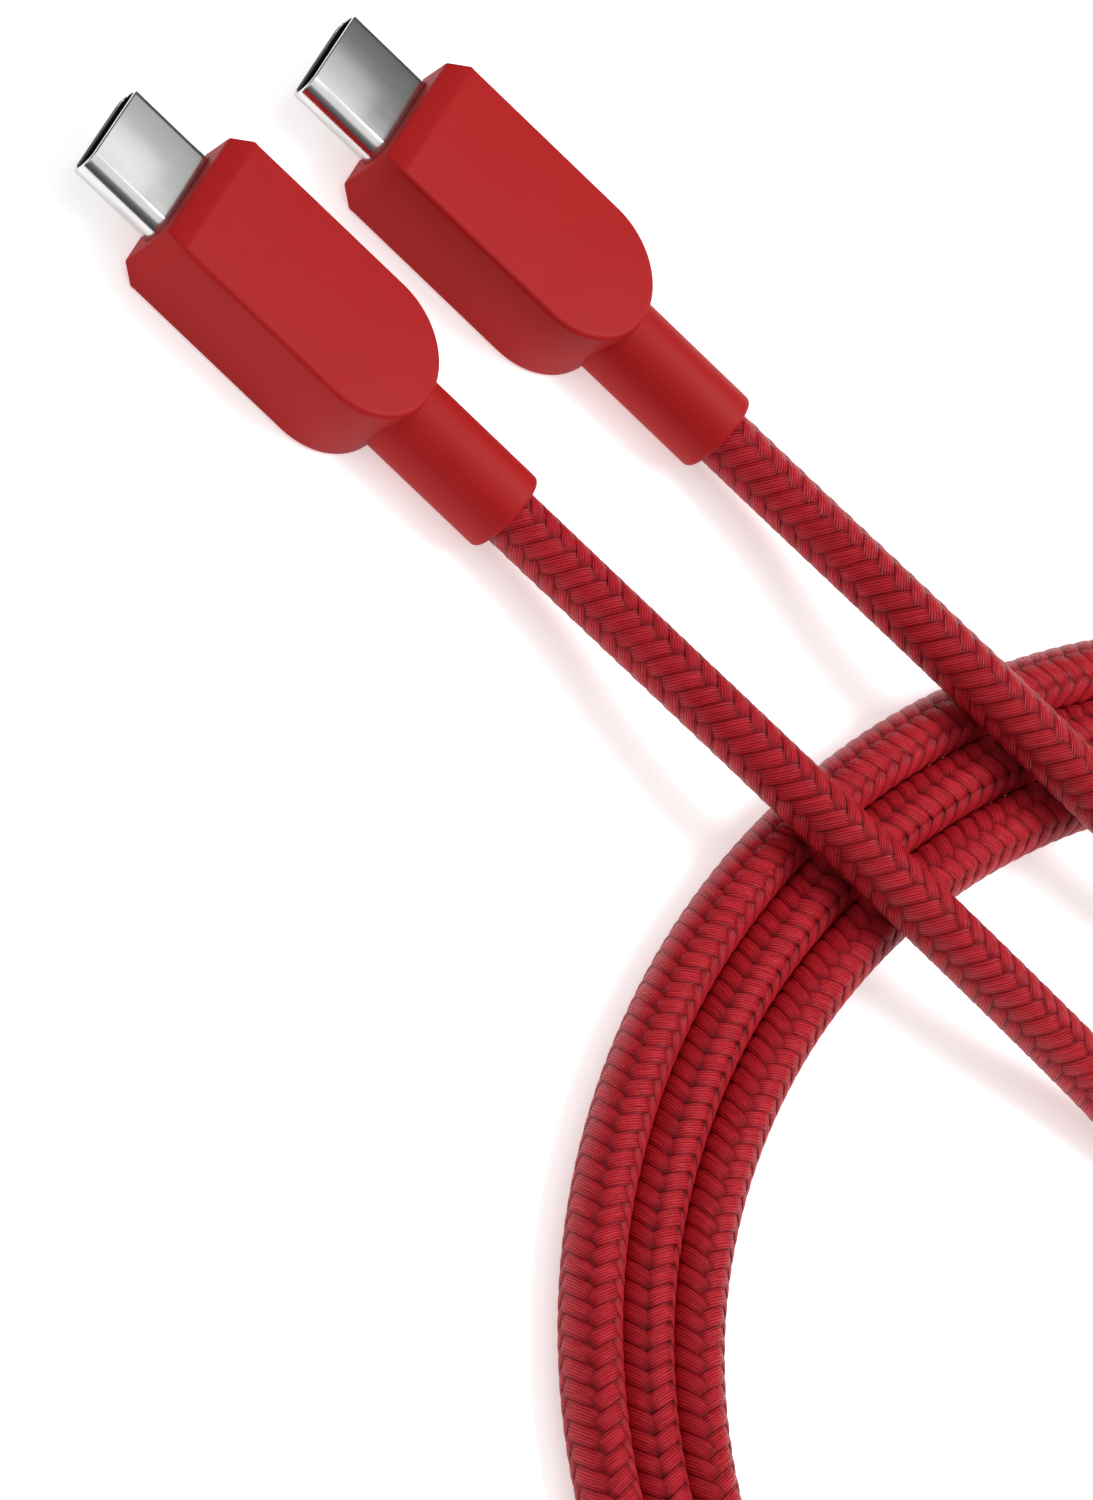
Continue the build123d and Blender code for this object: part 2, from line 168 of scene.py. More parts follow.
def select_part(piece, kind, wanted):
    """Selects the vertices, edges or faces in edit mode for which wanted(item) holds."""
    bpy.ops.object.mode_set(mode="EDIT")
    bpy.ops.mesh.select_mode(type={"vertices": "VERT", "edges": "EDGE", "polygons": "FACE"}[kind])
    bpy.ops.mesh.select_all(action="DESELECT")
    bpy.ops.object.mode_set(mode="OBJECT")
    for item in getattr(piece.data, kind):
        item.select = wanted(item)
    bpy.ops.object.mode_set(mode="EDIT")


def faces_towards(piece, direction):
    direction = Vector(direction)
    select_part(piece, "polygons", lambda face: face.normal.dot(direction) > 0.99)


def edge_ends(piece, edge):
    return [piece.data.vertices[i].co for i in edge.vertices]


def apply_modifiers(piece):
    deselect()
    piece.select_set(True)
    bpy.context.view_layer.objects.active = piece
    for modifier in list(piece.modifiers):
        bpy.ops.object.modifier_apply(modifier=modifier.name)


def bevel_edges(piece, width, segments, angle):
    """Rounds the edges sharper than the angle in degrees, or else those with a bevel weight."""
    bevel = piece.modifiers.new("Edges", "BEVEL")
    bevel.width = width
    bevel.segments = segments
    bevel.limit_method = "ANGLE" if angle else "WEIGHT"
    bevel.angle_limit = radians(angle or 30)
    bevel.use_clamp_overlap = False
    apply_modifiers(piece)


def cut_away(piece, cutter):
    cut = piece.modifiers.new("Opening", "BOOLEAN")
    cut.object = cutter
    cut.operation = "DIFFERENCE"
    cut.solver = "EXACT"
    apply_modifiers(piece)
    bpy.data.objects.remove(cutter)


def smooth(piece, angle=25):
    deselect()
    piece.select_set(True)
    bpy.context.view_layer.objects.active = piece
    bpy.ops.object.shade_smooth_by_angle(angle=radians(angle))


def oval_bar(name, low, high, steps=64):
    """A solid bar along Y whose section is a slot: two half circles and the flats between."""
    radius = (high.z - low.z) / 2
    middle = (low + high) / 2
    deselect()
    bpy.ops.mesh.primitive_cylinder_add(
        vertices=steps,
        radius=radius,
        depth=high.y - low.y,
        location=middle,
        rotation=(pi / 2, 0, 0),
    )
    bar = started(name)
    spread = (high.x - low.x) / 2 - radius
    for side in (1, -1):
        select_part(bar, "vertices", lambda v: side * (v.co.x - middle.x) > radius * 0.01)
        bpy.ops.transform.translate(value=(side * spread, 0, 0))
    bpy.ops.object.mode_set(mode="OBJECT")
    return bar


def round_bar(name, radius, start, length, steps=96):
    """A solid bar along Y from the point start."""
    deselect()
    bpy.ops.mesh.primitive_cylinder_add(
        vertices=steps,
        radius=radius,
        depth=length,
        location=start + Vector((0, length / 2, 0)),
        rotation=(pi / 2, 0, 0),
    )
    return started(name)


def bore_through(piece, wall):
    """Opens a bar along Y from end to end, with a wall left round the hole."""
    select_part(piece, "polygons", lambda face: abs(face.normal.y) > 0.99)
    bpy.ops.mesh.inset(thickness=wall)
    bpy.ops.mesh.bridge_edge_loops()
    bpy.ops.object.mode_set(mode="OBJECT")


def sink_hole(piece, direction, wall, depth):
    """Sinks a hole into the face that looks in this direction, with a wall left round it."""
    faces_towards(piece, direction)
    bpy.ops.mesh.inset(thickness=wall)
    bpy.ops.mesh.extrude_region_move(
        TRANSFORM_OT_translate={"value": [-depth * step for step in direction]}
    )
    bpy.ops.object.mode_set(mode="OBJECT")


def corners(node):
    low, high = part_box(node)
    return Vector(low), Vector(high)


def cord_axis(plug):
    """The point on the plug's axis at its tip."""
    low, high = corners(f"{plug}_shell")
    return Vector(((low.x + high.x) / 2, low.y, (low.z + high.z) / 2))


# Materials


class Value:
    """A shader socket that adds Math nodes when it is used in an expression."""

    def __init__(self, shader, socket):
        self.shader = shader
        self.socket = socket

    def _math(self, operation, *inputs):
        return self.shader.node("ShaderNodeMath", {"operation": operation}, inputs)

    def __add__(self, other):
        return self._math("ADD", self, other)

    def __sub__(self, other):
        return self._math("SUBTRACT", self, other)

    def __rsub__(self, other):
        return self._math("SUBTRACT", other, self)

    def __mul__(self, other):
        return self._math("MULTIPLY", self, other)

    def __pow__(self, other):
        return self._math("POWER", self, other)

    def __abs__(self):
        return self._math("ABSOLUTE", self)

    def sine(self):
        return self._math("SINE", self)

    def clamped(self):
        return self._math("MAXIMUM", self._math("MINIMUM", self, 1.0), 0.0)

    __radd__ = __add__
    __rmul__ = __mul__


class Shader:
    """A material and the one way in which its nodes are added."""

    def __init__(self, name, **fixed):
        self.material = bpy.data.materials.new(name)
        self.material.use_nodes = True
        self.tree = self.material.node_tree
        self.surface = self.tree.nodes["Principled BSDF"]
        for socket, value in fixed.items():
            self.surface.inputs[socket.replace("_", " ")].default_value = value

    def node(self, kind, settings=None, inputs=(), output=0):
        """Adds a node. Ramp stops are the setting "stops"; inputs go by place or by name."""
        node = self.tree.nodes.new(kind)
        for name, value in (settings or {}).items():
            if name == "stops":
                ramp = node.color_ramp.elements
                while len(ramp) < len(value):
                    ramp.new(0.5)
                for stop, (place, colour) in zip(ramp, value):
                    stop.position = place
                    stop.color = (*colour, 1)
            else:
                setattr(node, name, value)
        named = inputs.items() if isinstance(inputs, dict) else enumerate(inputs)
        for name, value in named:
            self.join(node.inputs[name], value)
        return Value(self, node.outputs[output])

    def join(self, socket, value):
        if isinstance(value, Value):
            self.tree.links.new(value.socket, socket)
        else:
            socket.default_value = value

    def place(self, scale=(1, 1, 1)):
        """Object coordinates, stretched."""
        coordinates = self.node("ShaderNodeTexCoord", output="Object")
        return self.node("ShaderNodeMapping", {}, {"Vector": coordinates, "Scale": scale})

    def noise(self, scale, detail=3.0, place=None, roughness=0.5):
        place = place or self.place()
        return self.node(
            "ShaderNodeTexNoise",
            {},
            {"Vector": place, "Scale": scale, "Detail": detail, "Roughness": roughness},
        )

    def mix(self, factor, first, second):
        """A colour between two others. The Mix node's colour sockets go by place."""
        colours = {6: (*first, 1), 7: (*second, 1)}
        return self.node("ShaderNodeMix", {"data_type": "RGBA"}, {0: factor, **colours}, output=2)

    def bump(self, height, distance, strength=1.0):
        normal = self.node(
            "ShaderNodeBump",
            {},
            {"Height": height, "Distance": distance, "Strength": strength},
        )
        self.set("Normal", normal)

    def set(self, socket, value):
        self.join(self.surface.inputs[socket], value)


def shade(colour, factor):
    return tuple(min(1.0, channel * factor) for channel in colour)


def pale(colour, factor):
    """A lighter tone that also loses a little of its strength."""
    return tuple(min(1.0, channel * factor + 0.025) for channel in colour)


def dress(piece, material):
    piece.data.materials.clear()
    piece.data.materials.append(material)


def dress_node(node, material):
    """A new finish for a CAD node that keeps its shape."""
    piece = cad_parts[node]
    for material_slot in piece.material_slots:
        material_slot.material = material
    if not piece.material_slots:
        piece.data.materials.append(material)


def soft_touch(name, colour):
    """Soft-touch moulding: a fine grain that scatters the light and faint handling marks."""
    finish = Shader(name, Specular_IOR_Level=0.14)
    grain = finish.noise(9000.0, 4.0, roughness=0.65)
    cloud = finish.noise(220.0, 3.0)
    finish.set("Base Color", finish.mix(cloud, shade(colour, 0.93), shade(colour, 1.06)))
    finish.set("Roughness", 0.46 + 0.10 * cloud + 0.06 * grain)
    finish.bump(grain, 0.012 * MM, 0.55)
    return finish.material


def plated_metal(name, colour, roughness):
    """Bright plating with very faint drawing lines along the plug."""
    finish = Shader(name, Metallic=1.0)
    lines = finish.noise(2600.0, 3.0, finish.place((1, 0.04, 1)))
    haze = finish.noise(600.0, 3.0)
    finish.set("Base Color", finish.mix(haze, shade(colour, 0.94), shade(colour, 1.03)))
    finish.set("Roughness", roughness + 0.07 * lines + 0.03 * haze)
    finish.bump(lines, 0.002 * MM, 0.35)
    return finish.material


def moulded_plastic(name, colour, roughness=0.45, gloss=0.5):
    finish = Shader(name, Specular_IOR_Level=gloss)
    grain = finish.noise(5200.0, 3.0)
    finish.set("Base Color", finish.mix(grain, shade(colour, 0.85), shade(colour, 1.12)))
    finish.set("Roughness", roughness + 0.12 * grain)
    finish.bump(grain, 0.008 * MM, 0.4)
    return finish.material


def braided_nylon(name, colour):
    """Filament bundles: lines along each bundle, with painted shade where it dives under the others and
    along its sides, and a painted highlight on its raised filaments where it rides on top.

    The UV map runs along the bundle in millimetres and across it from 0 to 1, and the attribute
    "lift" is 1 on top of the braid and 0 below it.
    """
    finish = Shader(name, Specular_IOR_Level=0.3)
    finish.surface.inputs["Specular Tint"].default_value = (1.0, 0.5, 0.55, 1)
    uv = finish.node("ShaderNodeUVMap", {"uv_map": "Bundle"})
    lift = finish.node("ShaderNodeAttribute", {"attribute_name": "lift"}, output="Fac")
    parts = finish.node("ShaderNodeSeparateXYZ", {}, [uv])
    across = Value(finish, parts.socket.node.outputs["Y"])
    stretched = finish.node("ShaderNodeMapping", {}, {"Vector": uv, "Scale": (0.7, 22, 1)})
    fibres = ((finish.noise(1.0, 4.0, stretched, 0.6) - 0.5) * 2.2 + 0.5).clamped()
    filaments = ((across + 0.05 * fibres) * (2 * pi * 7)).sine() * 0.5 + 0.5
    # side and lift mark where the painted shade falls: along the bundle's sides and where it dives.
    side = (abs(across - 0.5) * 2.0) ** 4.0
    height = fibres * 0.6 + filaments * 0.4
    # How far each point goes from painted shade towards the painted highlight.
    painted_shade_to_highlight = (lift * (0.05 + 0.95 * height) * (1.0 - 0.8 * side)).clamped()
    # The three tones: painted shade for the gaps, the yarn's own colour, and a pale painted highlight.
    painted_gap_shade, middle, light = shade(colour, 0.1), shade(colour, 0.8), pale(colour, 1.9)
    tone = finish.node(
        "ShaderNodeValToRGB", {"stops": ((0.0, painted_gap_shade), (0.35, middle), (0.9, light))}, [painted_shade_to_highlight]
    )
    finish.set("Base Color", tone)
    finish.set("Roughness", 0.42 - 0.12 * height)
    finish.bump(height, 0.09 * MM, 0.9)
    return finish.material


# Plug pieces


class CABLE_OT_covers(bpy.types.Operator):
    """Model each plug's cover: a bevelled nose, flat sides and a round tail"""

    bl_idname = "cable.covers"
    bl_label = "Covers"

    def execute(self, context):
        sizes = context.scene.cable_plug
        finish = soft_touch("Soft-touch cover", tuple(context.scene.cable_finish.cover))
        for plug in PLUGS:
            cover = self.cover(plug, sizes)
            dress(cover, finish)
            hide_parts(f"{plug}_housing")
            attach(cover, "root")
        return {"FINISHED"}

    def cover(self, plug, sizes):
        low, high = corners(f"{plug}_housing")
        width, height = high.x - low.x, high.z - low.z
        middle = (low + high) / 2
        front = low.y + sizes.nose_length
        end = low.y + sizes.cover_length
        deselect()
        bpy.ops.mesh.primitive_cube_add(size=1, location=(middle.x, (front + end) / 2, middle.z))
        bpy.context.object.scale = (width, end - front, height)
        cover = started(f"{plug}_cover")
        faces_towards(cover, (0, -1, 0))
        bpy.ops.mesh.extrude_region_move(
            TRANSFORM_OT_translate={"value": (0, -sizes.nose_length, 0)}
        )
        bpy.ops.transform.resize(
            value=(1 - 2 * sizes.nose_inset / width, 1, 1 - 2 * sizes.nose_inset / height),
            center_override=(middle.x, low.y, middle.z),
        )
        select_part(cover, "edges", lambda edge: self.upright_at(cover, edge, end))
        bpy.ops.mesh.bevel(offset=width / 2 * 0.9999, segments=40, profile=0.5, clamp_overlap=False)
        bpy.ops.object.mode_set(mode="OBJECT")
        self.weigh_edges(cover, sizes, front, low.z, high.z)
        bevel_edges(cover, sizes.cover_edge, 5, None)
        shell_low, shell_high = corners(f"{plug}_shell")
        gap = Vector((1, 0, 1)) * sizes.clearance
        depth = Vector((0, MOUTH_DEPTH, 0))
        mouth_low = Vector((shell_low.x, low.y, shell_low.z)) - gap - depth
        mouth_high = Vector((shell_high.x, low.y, shell_high.z)) + gap + depth
        cut_away(cover, oval_bar("mouth_cutter", mouth_low, mouth_high))
        smooth(cover)
        return cover

    def weigh_edges(self, cover, sizes, front, floor, top):
        """The nose keeps crisp edges and the faces' long edges are softer."""

        def at_nose(edge):
            return all(end.y < front + 1e-6 for end in edge_ends(cover, edge))

        def round_face(edge):
            a, b = edge_ends(cover, edge)
            on_face = any(abs(a.z - z) < 1e-6 and abs(b.z - z) < 1e-6 for z in (floor, top))
            return on_face and not at_nose(edge)

        for wanted, weight in ((at_nose, sizes.nose_edge / sizes.cover_edge), (round_face, 1)):
            select_part(cover, "edges", wanted)
            bpy.ops.transform.edge_bevelweight(value=weight)
            bpy.ops.object.mode_set(mode="OBJECT")

    def upright_at(self, cover, edge, y):
        a, b = edge_ends(cover, edge)
        return abs(a.y - y) < 1e-6 and abs(b.y - y) < 1e-6 and abs(a.z - b.z) > 1e-4


class CABLE_OT_sleeves(bpy.types.Operator):
    """Model the strain relief on each end of the cord"""

    bl_idname = "cable.sleeves"
    bl_label = "Strain reliefs"

    def execute(self, context):
        sizes = context.scene.cable_plug
        cord = context.scene.cable_cord
        finish = soft_touch("Soft-touch sleeve", tuple(context.scene.cable_finish.cover))
        for plug in PLUGS:
            low, high = corners(f"{plug}_strain_relief")
            radius = (high.z - low.z) / 2
            tail = corners(f"{plug}_housing")[1].y - SLEEVE_IN_TAIL
            start = Vector(((low.x + high.x) / 2, tail, (low.z + high.z) / 2))
            sleeve = round_bar(f"{plug}_sleeve", radius, start, high.y - tail)
            bore = cord.diameter / 2 + sizes.clearance
            sink_hole(sleeve, (0, 1, 0), radius - bore, SLEEVE_BORE)
            bevel_edges(sleeve, sizes.sleeve_rim, 6, 60)
            smooth(sleeve)
            dress(sleeve, finish)
            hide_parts(f"{plug}_strain_relief")
            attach(sleeve, "root")
        return {"FINISHED"}


class CABLE_OT_shells(bpy.types.Operator):
    """Model the plated shells with their rolled rims"""

    bl_idname = "cable.shells"
    bl_label = "Shells"

    def execute(self, context):
        sizes = context.scene.cable_plug
        finish = plated_metal("Polished plating", (0.64, 0.637, 0.635), 0.12)
        for plug in PLUGS:
            low, high = corners(f"{plug}_shell")
            shell = oval_bar(f"{plug}_plated_shell", low, high)
            bore_through(shell, sizes.shell_wall)
            bevel_edges(shell, sizes.shell_rim, 5, 60)
            smooth(shell)
            dress(shell, finish)
            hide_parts(f"{plug}_shell")
            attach(shell, "root")
        return {"FINISHED"}


class CABLE_OT_inner_finishes(bpy.types.Operator):
    """Give the pieces inside the plugs their finishes"""

    bl_idname = "cable.inner_finishes"
    bl_label = "Inner pieces"

    def execute(self, context):
        black = moulded_plastic("Black insulator", (0.006, 0.006, 0.006), 0.6, 0.05)
        steel = plated_metal("Bright spring steel", (0.86, 0.86, 0.85), 0.16)
        gold = plated_metal("Gold plating", (0.90, 0.68, 0.30), 0.2)
        tin = plated_metal("Tinned steel", (0.66, 0.67, 0.68), 0.34)
        brass = plated_metal("Pressed brass", (0.74, 0.58, 0.30), 0.3)
        board = moulded_plastic("Solder mask", (0.02, 0.14, 0.06), 0.3)
        chip = moulded_plastic("Moulded epoxy", (0.03, 0.03, 0.033), 0.5)
        pale = moulded_plastic("Pale polyethylene", (0.62, 0.60, 0.55), 0.4)
        cloth = moulded_plastic("Covered cable", shade(context.scene.cable_finish.yarn, 0.35), 0.7)
        finishes = {
            black: ("front_insulator", "wafer_upper", "wafer_lower"),
            steel: ("ground_spring_upper", "ground_spring_lower", "latch_plate"),
            gold: ("contacts_upper", "contacts_lower"),
            tin: ("can_upper", "can_lower", "shield_braid"),
            brass: ("crimp_collar",),
            board: ("card",),
            chip: ("controller_chip", "passives"),
            pale: ("wire_ends", "inner_mould"),
            cloth: ("cable_end",),
        }
        for material, nodes in finishes.items():
            for node in nodes:
                for plug in PLUGS:
                    dress_node(f"{plug}_{node}", material)
        return {"FINISHED"}


# The cord. The route's points are in millimetres, from plug a to plug b.

GROUND = 2.125
OVER = 6.9
AXIS = 3.2
LEAD_A = (
    (9.25, 20, AXIS),
    (12.6, 35.5, OVER),
    (12.6, 57.5, OVER),
    (8.6, 75, GROUND),
    (11.2, 88.5, GROUND),
    (15.2, 101.2, GROUND),
    (12.4, 113.8, GROUND),
    (3.4, 122.4, GROUND),
    (-8.6, 124.4, GROUND),
    (-15.6, 123.5, GROUND),
    (-20.4, 121.75, GROUND),
    (-24.9, 119.47, GROUND),
)
LEAD_B = (
    (-9.25, 29.5, AXIS),
    (-5.9, 43.5, OVER),
    (-5.9, 64.5, OVER),
    (-9.2, 81, GROUND),
    (-10.3, 95, GROUND),
    (-11.2, 108, 4.6),
    (-10.6, 121.5, OVER),
    (-5.2, 133.4, OVER),
    (5.6, 141.6, OVER),
    (18.8, 142.2, 5.8),
    (31.2, 136.6, GROUND),
)
COIL_MIDDLE = (14.85, 89.45)
COIL_TILT = radians(-19.1)
COIL_NEAR = 37.35
COIL_STRETCH = 1.392
COIL_START = 160
COIL_TURNS = 3 - 80 / 360
COIL_STEP = 4.16  # the turns press together a little, being less than the cord apart
POINTS_PER_TURN = 24


def coil_points():
    """The coil's turns, from the inner end to the outer one."""
    count = round(COIL_TURNS * POINTS_PER_TURN)
    points = []
    for i in range(count + 1):
        turns = COIL_TURNS * i / count
        angle = radians(COIL_START + 360 * turns)
        short = COIL_NEAR + COIL_STEP * turns
        long = COIL_NEAR * COIL_STRETCH + COIL_STEP * turns
        along, aside = long * cos(angle), short * sin(angle)
        x = COIL_MIDDLE[0] + along * cos(COIL_TILT) - aside * sin(COIL_TILT)
        y = COIL_MIDDLE[1] + along * sin(COIL_TILT) + aside * cos(COIL_TILT)
        points.append((x, y, GROUND))
    return points


class CABLE_OT_cord(bpy.types.Operator):
    """Lay the cord's core along its route and braid the bundles round it"""

    bl_idname = "cable.cord"
    bl_label = "Braided cord"

    def execute(self, context):
        cord = context.scene.cable_cord
        colour = tuple(context.scene.cable_finish.yarn)
        exits = [self.exit_point(plug) for plug in PLUGS]
        core = self.core(cord, exits)
        dress(core, moulded_plastic("Cable jacket", shade(colour, 0.10), 0.75))
        bundles = self.braid(core, cord)
        finish = braided_nylon("Braided nylon", colour)
        for bundle in bundles:
            dress(bundle, finish)
            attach(bundle, "root")
        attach(core, "root")
        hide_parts("cord_lead_a", "cord_lead_b", "cord_coil")
        return {"FINISHED"}

    def exit_point(self, plug):
        axis = cord_axis(plug)
        return Vector((axis.x, corners(f"{plug}_strain_relief")[1].y, axis.z))

    def core(self, cord, exits):
        inwards = Vector((0, -cord.hidden_start, 0))
        start, end = (tuple((point + inwards) / MM) for point in exits)
        route = [start, *LEAD_A, *coil_points(), *reversed(LEAD_B), end]
        curve = bpy.data.curves.new("cord_core", "CURVE")
        curve.dimensions = "3D"
        curve.resolution_u = 12
        spline = curve.splines.new("NURBS")
        spline.points.add(len(route) - 1)
        for point, place in zip(spline.points, route):
            point.co = (*(MM * c for c in place), 1)
        spline.order_u = 3
        spline.use_endpoint_u = True
        core = bpy.data.objects.new("cord_core", curve)
        bpy.context.collection.objects.link(core)
        return core

    def centreline(self, core, step):
        """Evenly spaced points along the core's spline, with a frame that doesn't twist."""
        mesh = bpy.data.meshes.new_from_object(core)
        line = np.empty(len(mesh.vertices) * 3)
        mesh.vertices.foreach_get("co", line)
        line = line.reshape(-1, 3)
        bpy.data.meshes.remove(mesh)
        lengths = np.linalg.norm(np.diff(line, axis=0), axis=1)
        line = line[np.append(lengths > 1e-9, True)]
        lengths = np.linalg.norm(np.diff(line, axis=0), axis=1)
        place = np.append(0, np.cumsum(lengths))
        count = int(place[-1] / step)
        at = np.linspace(0, place[-1], count + 1)
        points = np.column_stack([np.interp(at, place, line[:, axis]) for axis in range(3)])
        tangents = np.gradient(points, axis=0)
        tangents /= np.linalg.norm(tangents, axis=1)[:, None]
        ups = np.empty_like(points)
        up = np.array((0.0, 0.0, 1.0))
        for i, tangent in enumerate(tangents):
            up = up - tangent * up.dot(tangent)
            up /= np.linalg.norm(up)
            ups[i] = up
        return at, points, ups, np.cross(tangents, ups), tangents

    def braid(self, core, cord):
        samples_per_float = 12
        step = cord.pitch / 3 / samples_per_float
        line = self.centreline(core, step)
        core.data.bevel_depth = cord.diameter / 2 - cord.yarn_height - 1.3 * cord.crimp
        core.data.bevel_resolution = 4
        core.data.use_fill_caps = True
        bundles = []
        for way, hand in ((1, "right"), (-1, "left")):
            for i in range(cord.yarns_each_way):
                name = f"braid_{hand}_{i + 1}"
                bundles.append(self.bundle(name, line, cord, way, i))
        return bundles

    def bundle(self, name, line, cord, way, number):
        """One flat bundle. It rides over the others in every second column of the braid."""
        at, points, ups, asides, tangents = line
        drift = radians(cord.drift) * at / at[-1]
        turn = way * 2 * pi * at / cord.pitch + 2 * pi * number / cord.yarns_each_way
        column = cord.yarns_each_way / 2 * (turn - radians(cord.column) - drift)
        middle = cord.diameter / 2 - cord.yarn_height / 2 - cord.crimp
        lift = np.tanh(3.0 * (-way * np.cos(column) - 0.1 * way)) / np.tanh(3.0)
        radius = middle + cord.crimp * lift
        outward = np.cos(turn)[:, None] * ups + np.sin(turn)[:, None] * asides
        round_way = -np.sin(turn)[:, None] * ups + np.cos(turn)[:, None] * asides
        slope = way * 2 * pi * middle / cord.pitch
        along = tangents + slope * round_way
        along /= np.linalg.norm(along, axis=1)[:, None]
        across = np.cross(along, outward)
        section = self.section(cord)
        count = len(section)
        curl = 0.7 / (2 * middle)  # the sides sink towards the cord's round
        rings = []
        for x, z in section:
            reach = radius + z - x * x * curl
            rings.append(points + outward * reach[:, None] + across * x)
        vertices = np.stack(rings, axis=1).reshape(-1, 3)
        rows = len(points)
        first = np.arange(rows - 1)[:, None] * count
        corner = np.arange(count)[None, :]
        base = (first + corner).ravel()
        beside = (first + (corner + 1) % count).ravel()
        quads = np.column_stack([base, beside, beside + count, base + count])
        faces = quads.tolist()
        faces.append(list(range(count))[::-1])
        faces.append([(rows - 1) * count + i for i in range(count)])
        mesh = bpy.data.meshes.new(name)
        mesh.from_pydata(vertices.tolist(), [], faces)
        side = np.array([0.5 + x / cord.yarn_width for x, z in section])
        row = np.repeat(at / MM + 17.3 * (number + (way < 0) * cord.yarns_each_way), count)
        uv = mesh.uv_layers.new(name="Bundle")
        loops = np.empty(len(mesh.loops), dtype=int)
        mesh.loops.foreach_get("vertex_index", loops)
        coordinates = np.column_stack([row[loops], np.tile(side, rows)[loops]])
        uv.data.foreach_set("uv", coordinates.ravel())
        height = mesh.attributes.new("lift", "FLOAT", "POINT")
        height.data.foreach_set("value", np.repeat(0.5 + 0.5 * lift, count))
        mesh.shade_smooth()
        mesh.update()
        bundle = bpy.data.objects.new(name, mesh)
        bpy.context.collection.objects.link(bundle)
        return bundle

    def section(self, cord):
        """Blunt sides, a nearly flat top and bottom, anticlockwise seen along the bundle."""
        half = cord.yarn_width / 2
        turns = [pi * i / 6 for i in range(7)]
        top = [(-half * cos(t), cord.yarn_height / 2 * abs(sin(t)) ** 0.55) for t in turns]
        bottom = [(half * 0.5, -cord.yarn_height / 2), (-half * 0.5, -cord.yarn_height / 2)]
        return top + bottom


# Stage


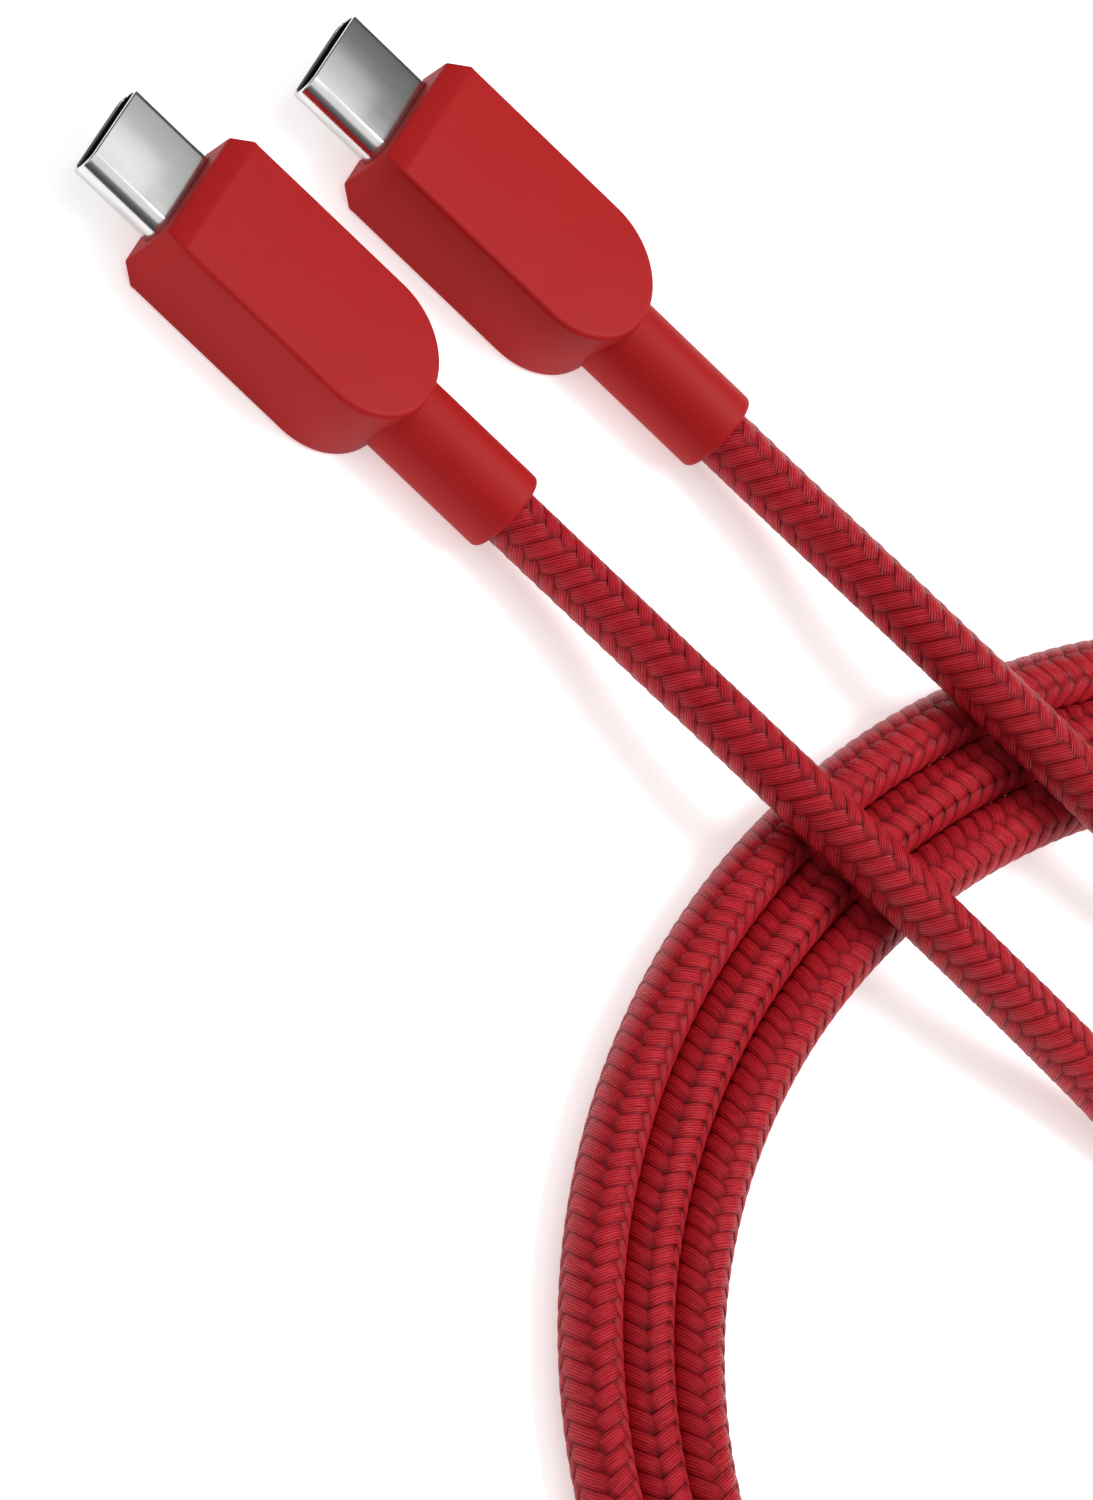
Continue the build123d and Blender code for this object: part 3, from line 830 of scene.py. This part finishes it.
class CABLE_OT_stage(bpy.types.Operator):
    """Set up the floor, the soft lights and the camera"""

    bl_idname = "cable.stage"
    bl_label = "Stage"

    def execute(self, context):
        stage = context.scene.cable_stage
        self.floor(tuple(context.scene.cable_finish.floor))
        self.camera(context, stage)
        self.lights(context, stage)
        return {"FINISHED"}

    def floor(self, colour):
        deselect()
        bpy.ops.mesh.primitive_plane_add(size=6, location=(0, 0, 0))
        floor = started("floor")
        finish = Shader("Pale floor", Roughness=0.85, Emission_Strength=0.5)
        finish.surface.inputs["Emission Color"].default_value = (1, 1, 1, 1)
        cloud = finish.noise(3.0)
        finish.set("Base Color", finish.mix(cloud, shade(colour, 0.995), colour))
        dress(floor, finish.material)

    def camera(self, context, stage):
        """The view from above the plugs' right side, rolled so that the cord runs to the lower right."""
        right = Vector((-0.397, 0.706, 0.588)).normalized()
        back = Vector((0.658, -0.228, 0.718))
        back = (back - right * back.dot(right)).normalized()
        up = back.cross(right)
        tip = cord_axis("plug_a")
        aim = tip + 28.7 * MM * right - 40.3 * MM * up
        place = aim + stage.distance * back
        camera = bpy.data.cameras.new("camera")
        camera.lens = camera.sensor_width * stage.distance / stage.view_height
        camera.clip_start = 0.05
        viewer = bpy.data.objects.new("camera", camera)
        context.collection.objects.link(viewer)
        turn = Matrix((right, up, back)).transposed()
        viewer.matrix_world = Matrix.Translation(place) @ turn.to_4x4()
        context.scene.camera = viewer

    def lights(self, context, stage):
        world = bpy.data.worlds.new("studio")
        world.use_nodes = True
        tree = world.node_tree
        direction = tree.nodes.new("ShaderNodeTexCoord")
        parts = tree.nodes.new("ShaderNodeSeparateXYZ")
        sky = tree.nodes.new("ShaderNodeValToRGB")
        ramp = sky.color_ramp.elements
        for place, level in ((0.5, 0.02), (0.75, 0.06), (0.88, 0.14), (0.94, 0.5), (1.0, 0.5)):
            stop = ramp[0] if place == 0.5 else ramp[-1] if place == 1.0 else ramp.new(place)
            stop.position = place
            stop.color = (level, level, level, 1)
        height = tree.nodes.new("ShaderNodeMapRange")
        height.inputs["From Min"].default_value = -1
        tree.links.new(direction.outputs["Generated"], parts.inputs[0])
        tree.links.new(parts.outputs["Z"], height.inputs["Value"])
        tree.links.new(height.outputs[0], sky.inputs[0])
        tree.links.new(sky.outputs[0], tree.nodes["Background"].inputs["Color"])
        tree.nodes["Background"].inputs["Strength"].default_value = stage.sky
        context.scene.world = world
        context.scene.view_settings.view_transform = "Standard"
        for name, place, size, power in (
            ("key", (-0.30, 0.45, 0.70), 0.45, stage.key_power),
            ("fill", (0.6, -0.5, 0.5), 0.6, 0.25 * stage.key_power),
        ):
            self.softbox(context, name, Vector(place), Vector((0.02, 0.02, 0)), size, power)
        for plug in PLUGS:
            low, high = corners(f"{plug}_shell")
            face = Vector(((low.x + high.x) / 2, low.y + 1.2 * MM, high.z))
            away = Vector((-0.658, 0.228, 0.718)) * 60 * MM + Vector((14, -13, 0)) * MM
            self.softbox(context, f"{plug}_glint", face + away, face, 24 * MM, stage.glint_power)

    def softbox(self, context, name, place, target, size, power):
        lamp = bpy.data.lights.new(name, "AREA")
        lamp.size = size
        lamp.energy = power
        light = bpy.data.objects.new(name, lamp)
        light.location = place
        light.rotation_euler = (target - place).to_track_quat("-Z", "Y").to_euler()
        context.collection.objects.link(light)


class CABLE_PT_panel(bpy.types.Panel):
    """The cable's pieces, in the order in which they are made"""

    bl_label = "Charging cable"
    bl_idname = "CABLE_PT_panel"
    bl_space_type = "VIEW_3D"
    bl_region_type = "UI"
    bl_category = "Cable"

    def draw(self, context):
        for operator in OPERATORS:
            self.layout.operator(operator.bl_idname)
        for group in ("cable_plug", "cable_cord", "cable_finish", "cable_stage"):
            settings = getattr(context.scene, group)
            for name in settings.__annotations__:
                self.layout.prop(settings, name)


GROUPS = {
    "cable_plug": CablePlugSettings,
    "cable_cord": CableCordSettings,
    "cable_finish": CableFinishSettings,
    "cable_stage": CableStageSettings,
}
OPERATORS = (
    CABLE_OT_stage,
    CABLE_OT_cord,
    CABLE_OT_covers,
    CABLE_OT_sleeves,
    CABLE_OT_shells,
    CABLE_OT_inner_finishes,
)


def register():
    for name, group in GROUPS.items():
        bpy.utils.register_class(group)
        setattr(bpy.types.Scene, name, bpy.props.PointerProperty(type=group))
    for operator in OPERATORS:
        bpy.utils.register_class(operator)
    bpy.utils.register_class(CABLE_PT_panel)


def unregister():
    bpy.utils.unregister_class(CABLE_PT_panel)
    for operator in reversed(OPERATORS):
        bpy.utils.unregister_class(operator)
    for name, group in GROUPS.items():
        delattr(bpy.types.Scene, name)
        bpy.utils.unregister_class(group)


def main():
    register()
    bpy.ops.cable.stage()
    bpy.ops.cable.cord()
    bpy.ops.cable.covers()
    bpy.ops.cable.sleeves()
    bpy.ops.cable.shells()
    bpy.ops.cable.inner_finishes()


if __name__ == "__main__":
    main()
